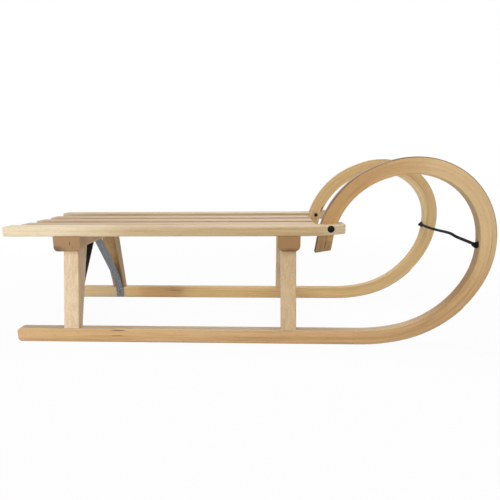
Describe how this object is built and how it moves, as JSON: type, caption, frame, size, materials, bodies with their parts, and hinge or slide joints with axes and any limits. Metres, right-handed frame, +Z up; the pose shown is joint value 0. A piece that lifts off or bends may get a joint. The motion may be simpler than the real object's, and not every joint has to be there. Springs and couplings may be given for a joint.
{
  "type": "sled",
  "caption": "Wooden horned sled: slatted seat on splayed legs, steel-shod runners bent up and back to the seat as tall horns, and a short pull cord between them.",
  "frame": {"origin": "on the ground, under the middle of the sled's length and width", "axes": "+X forward to the horns, +Y to the sled's left, +Z up"},
  "size_m": [1.0916, 0.344, 0.4165],
  "materials": {
    "bent_beech": "steam-bent beech, clear satin lacquer",
    "slat_beech": "planed beech, clear satin lacquer",
    "beam_beech": "planed beech, clear satin lacquer",
    "leg_beech": "planed beech, clear satin lacquer",
    "brace_steel": "black stoved enamel on strip steel",
    "shoe_steel": "bright rolled strip, lightly worn",
    "bolt_steel": "blackened steel",
    "cord_black": "braided polypropylene cord, matte"
  },
  "bodies": {
    "root": {"runner_right": "bent_beech", "shoe_right": "shoe_steel", "runner_left": "bent_beech", "shoe_left": "shoe_steel", "crossbeam_rear": "beam_beech", "crossbeam_front": "beam_beech", "leg_rear_right": "leg_beech", "leg_rear_left": "leg_beech", "leg_front_right": "leg_beech", "leg_front_left": "leg_beech", "brace_rear": "brace_steel", "brace_front": "brace_steel", "seat_slat_1": "slat_beech", "seat_slat_2": "slat_beech", "seat_slat_3": "slat_beech", "seat_slat_4": "slat_beech", "seat_slat_5": "slat_beech", "horn_bolt_right": "bolt_steel", "horn_bolt_left": "bolt_steel", "pull_cord": "cord_black", "cord_knot_right": "cord_black", "cord_knot_left": "cord_black"}
  },
  "joints": []
}
